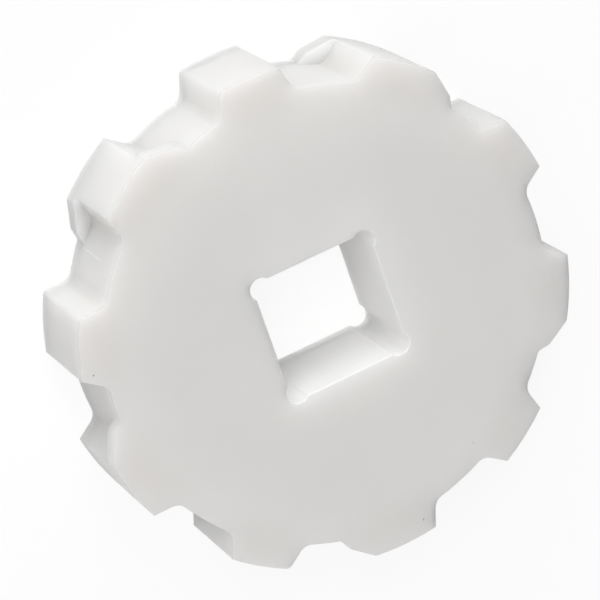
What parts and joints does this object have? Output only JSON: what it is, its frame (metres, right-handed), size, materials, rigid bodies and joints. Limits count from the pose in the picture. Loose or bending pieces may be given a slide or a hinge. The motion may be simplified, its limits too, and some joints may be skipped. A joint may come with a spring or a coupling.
{
  "type": "belt sprocket",
  "caption": "Machined plastic drive wheel for a modular conveyor belt, with broad stepped lobes round the rim and a square shaft bore",
  "frame": {"origin": "middle of the lower end face, on the shaft's axis", "axes": "Z is the shaft's axis, upwards from the face it lies on; X and Y run square to the sides of the bore"},
  "size_m": [0.1596, 0.162, 0.035],
  "materials": {
    "sprocket": "natural white machined plastic, satin, with faint tool marks and a little see-through depth"
  },
  "bodies": {
    "root": {"sprocket": "sprocket"}
  },
  "joints": []
}
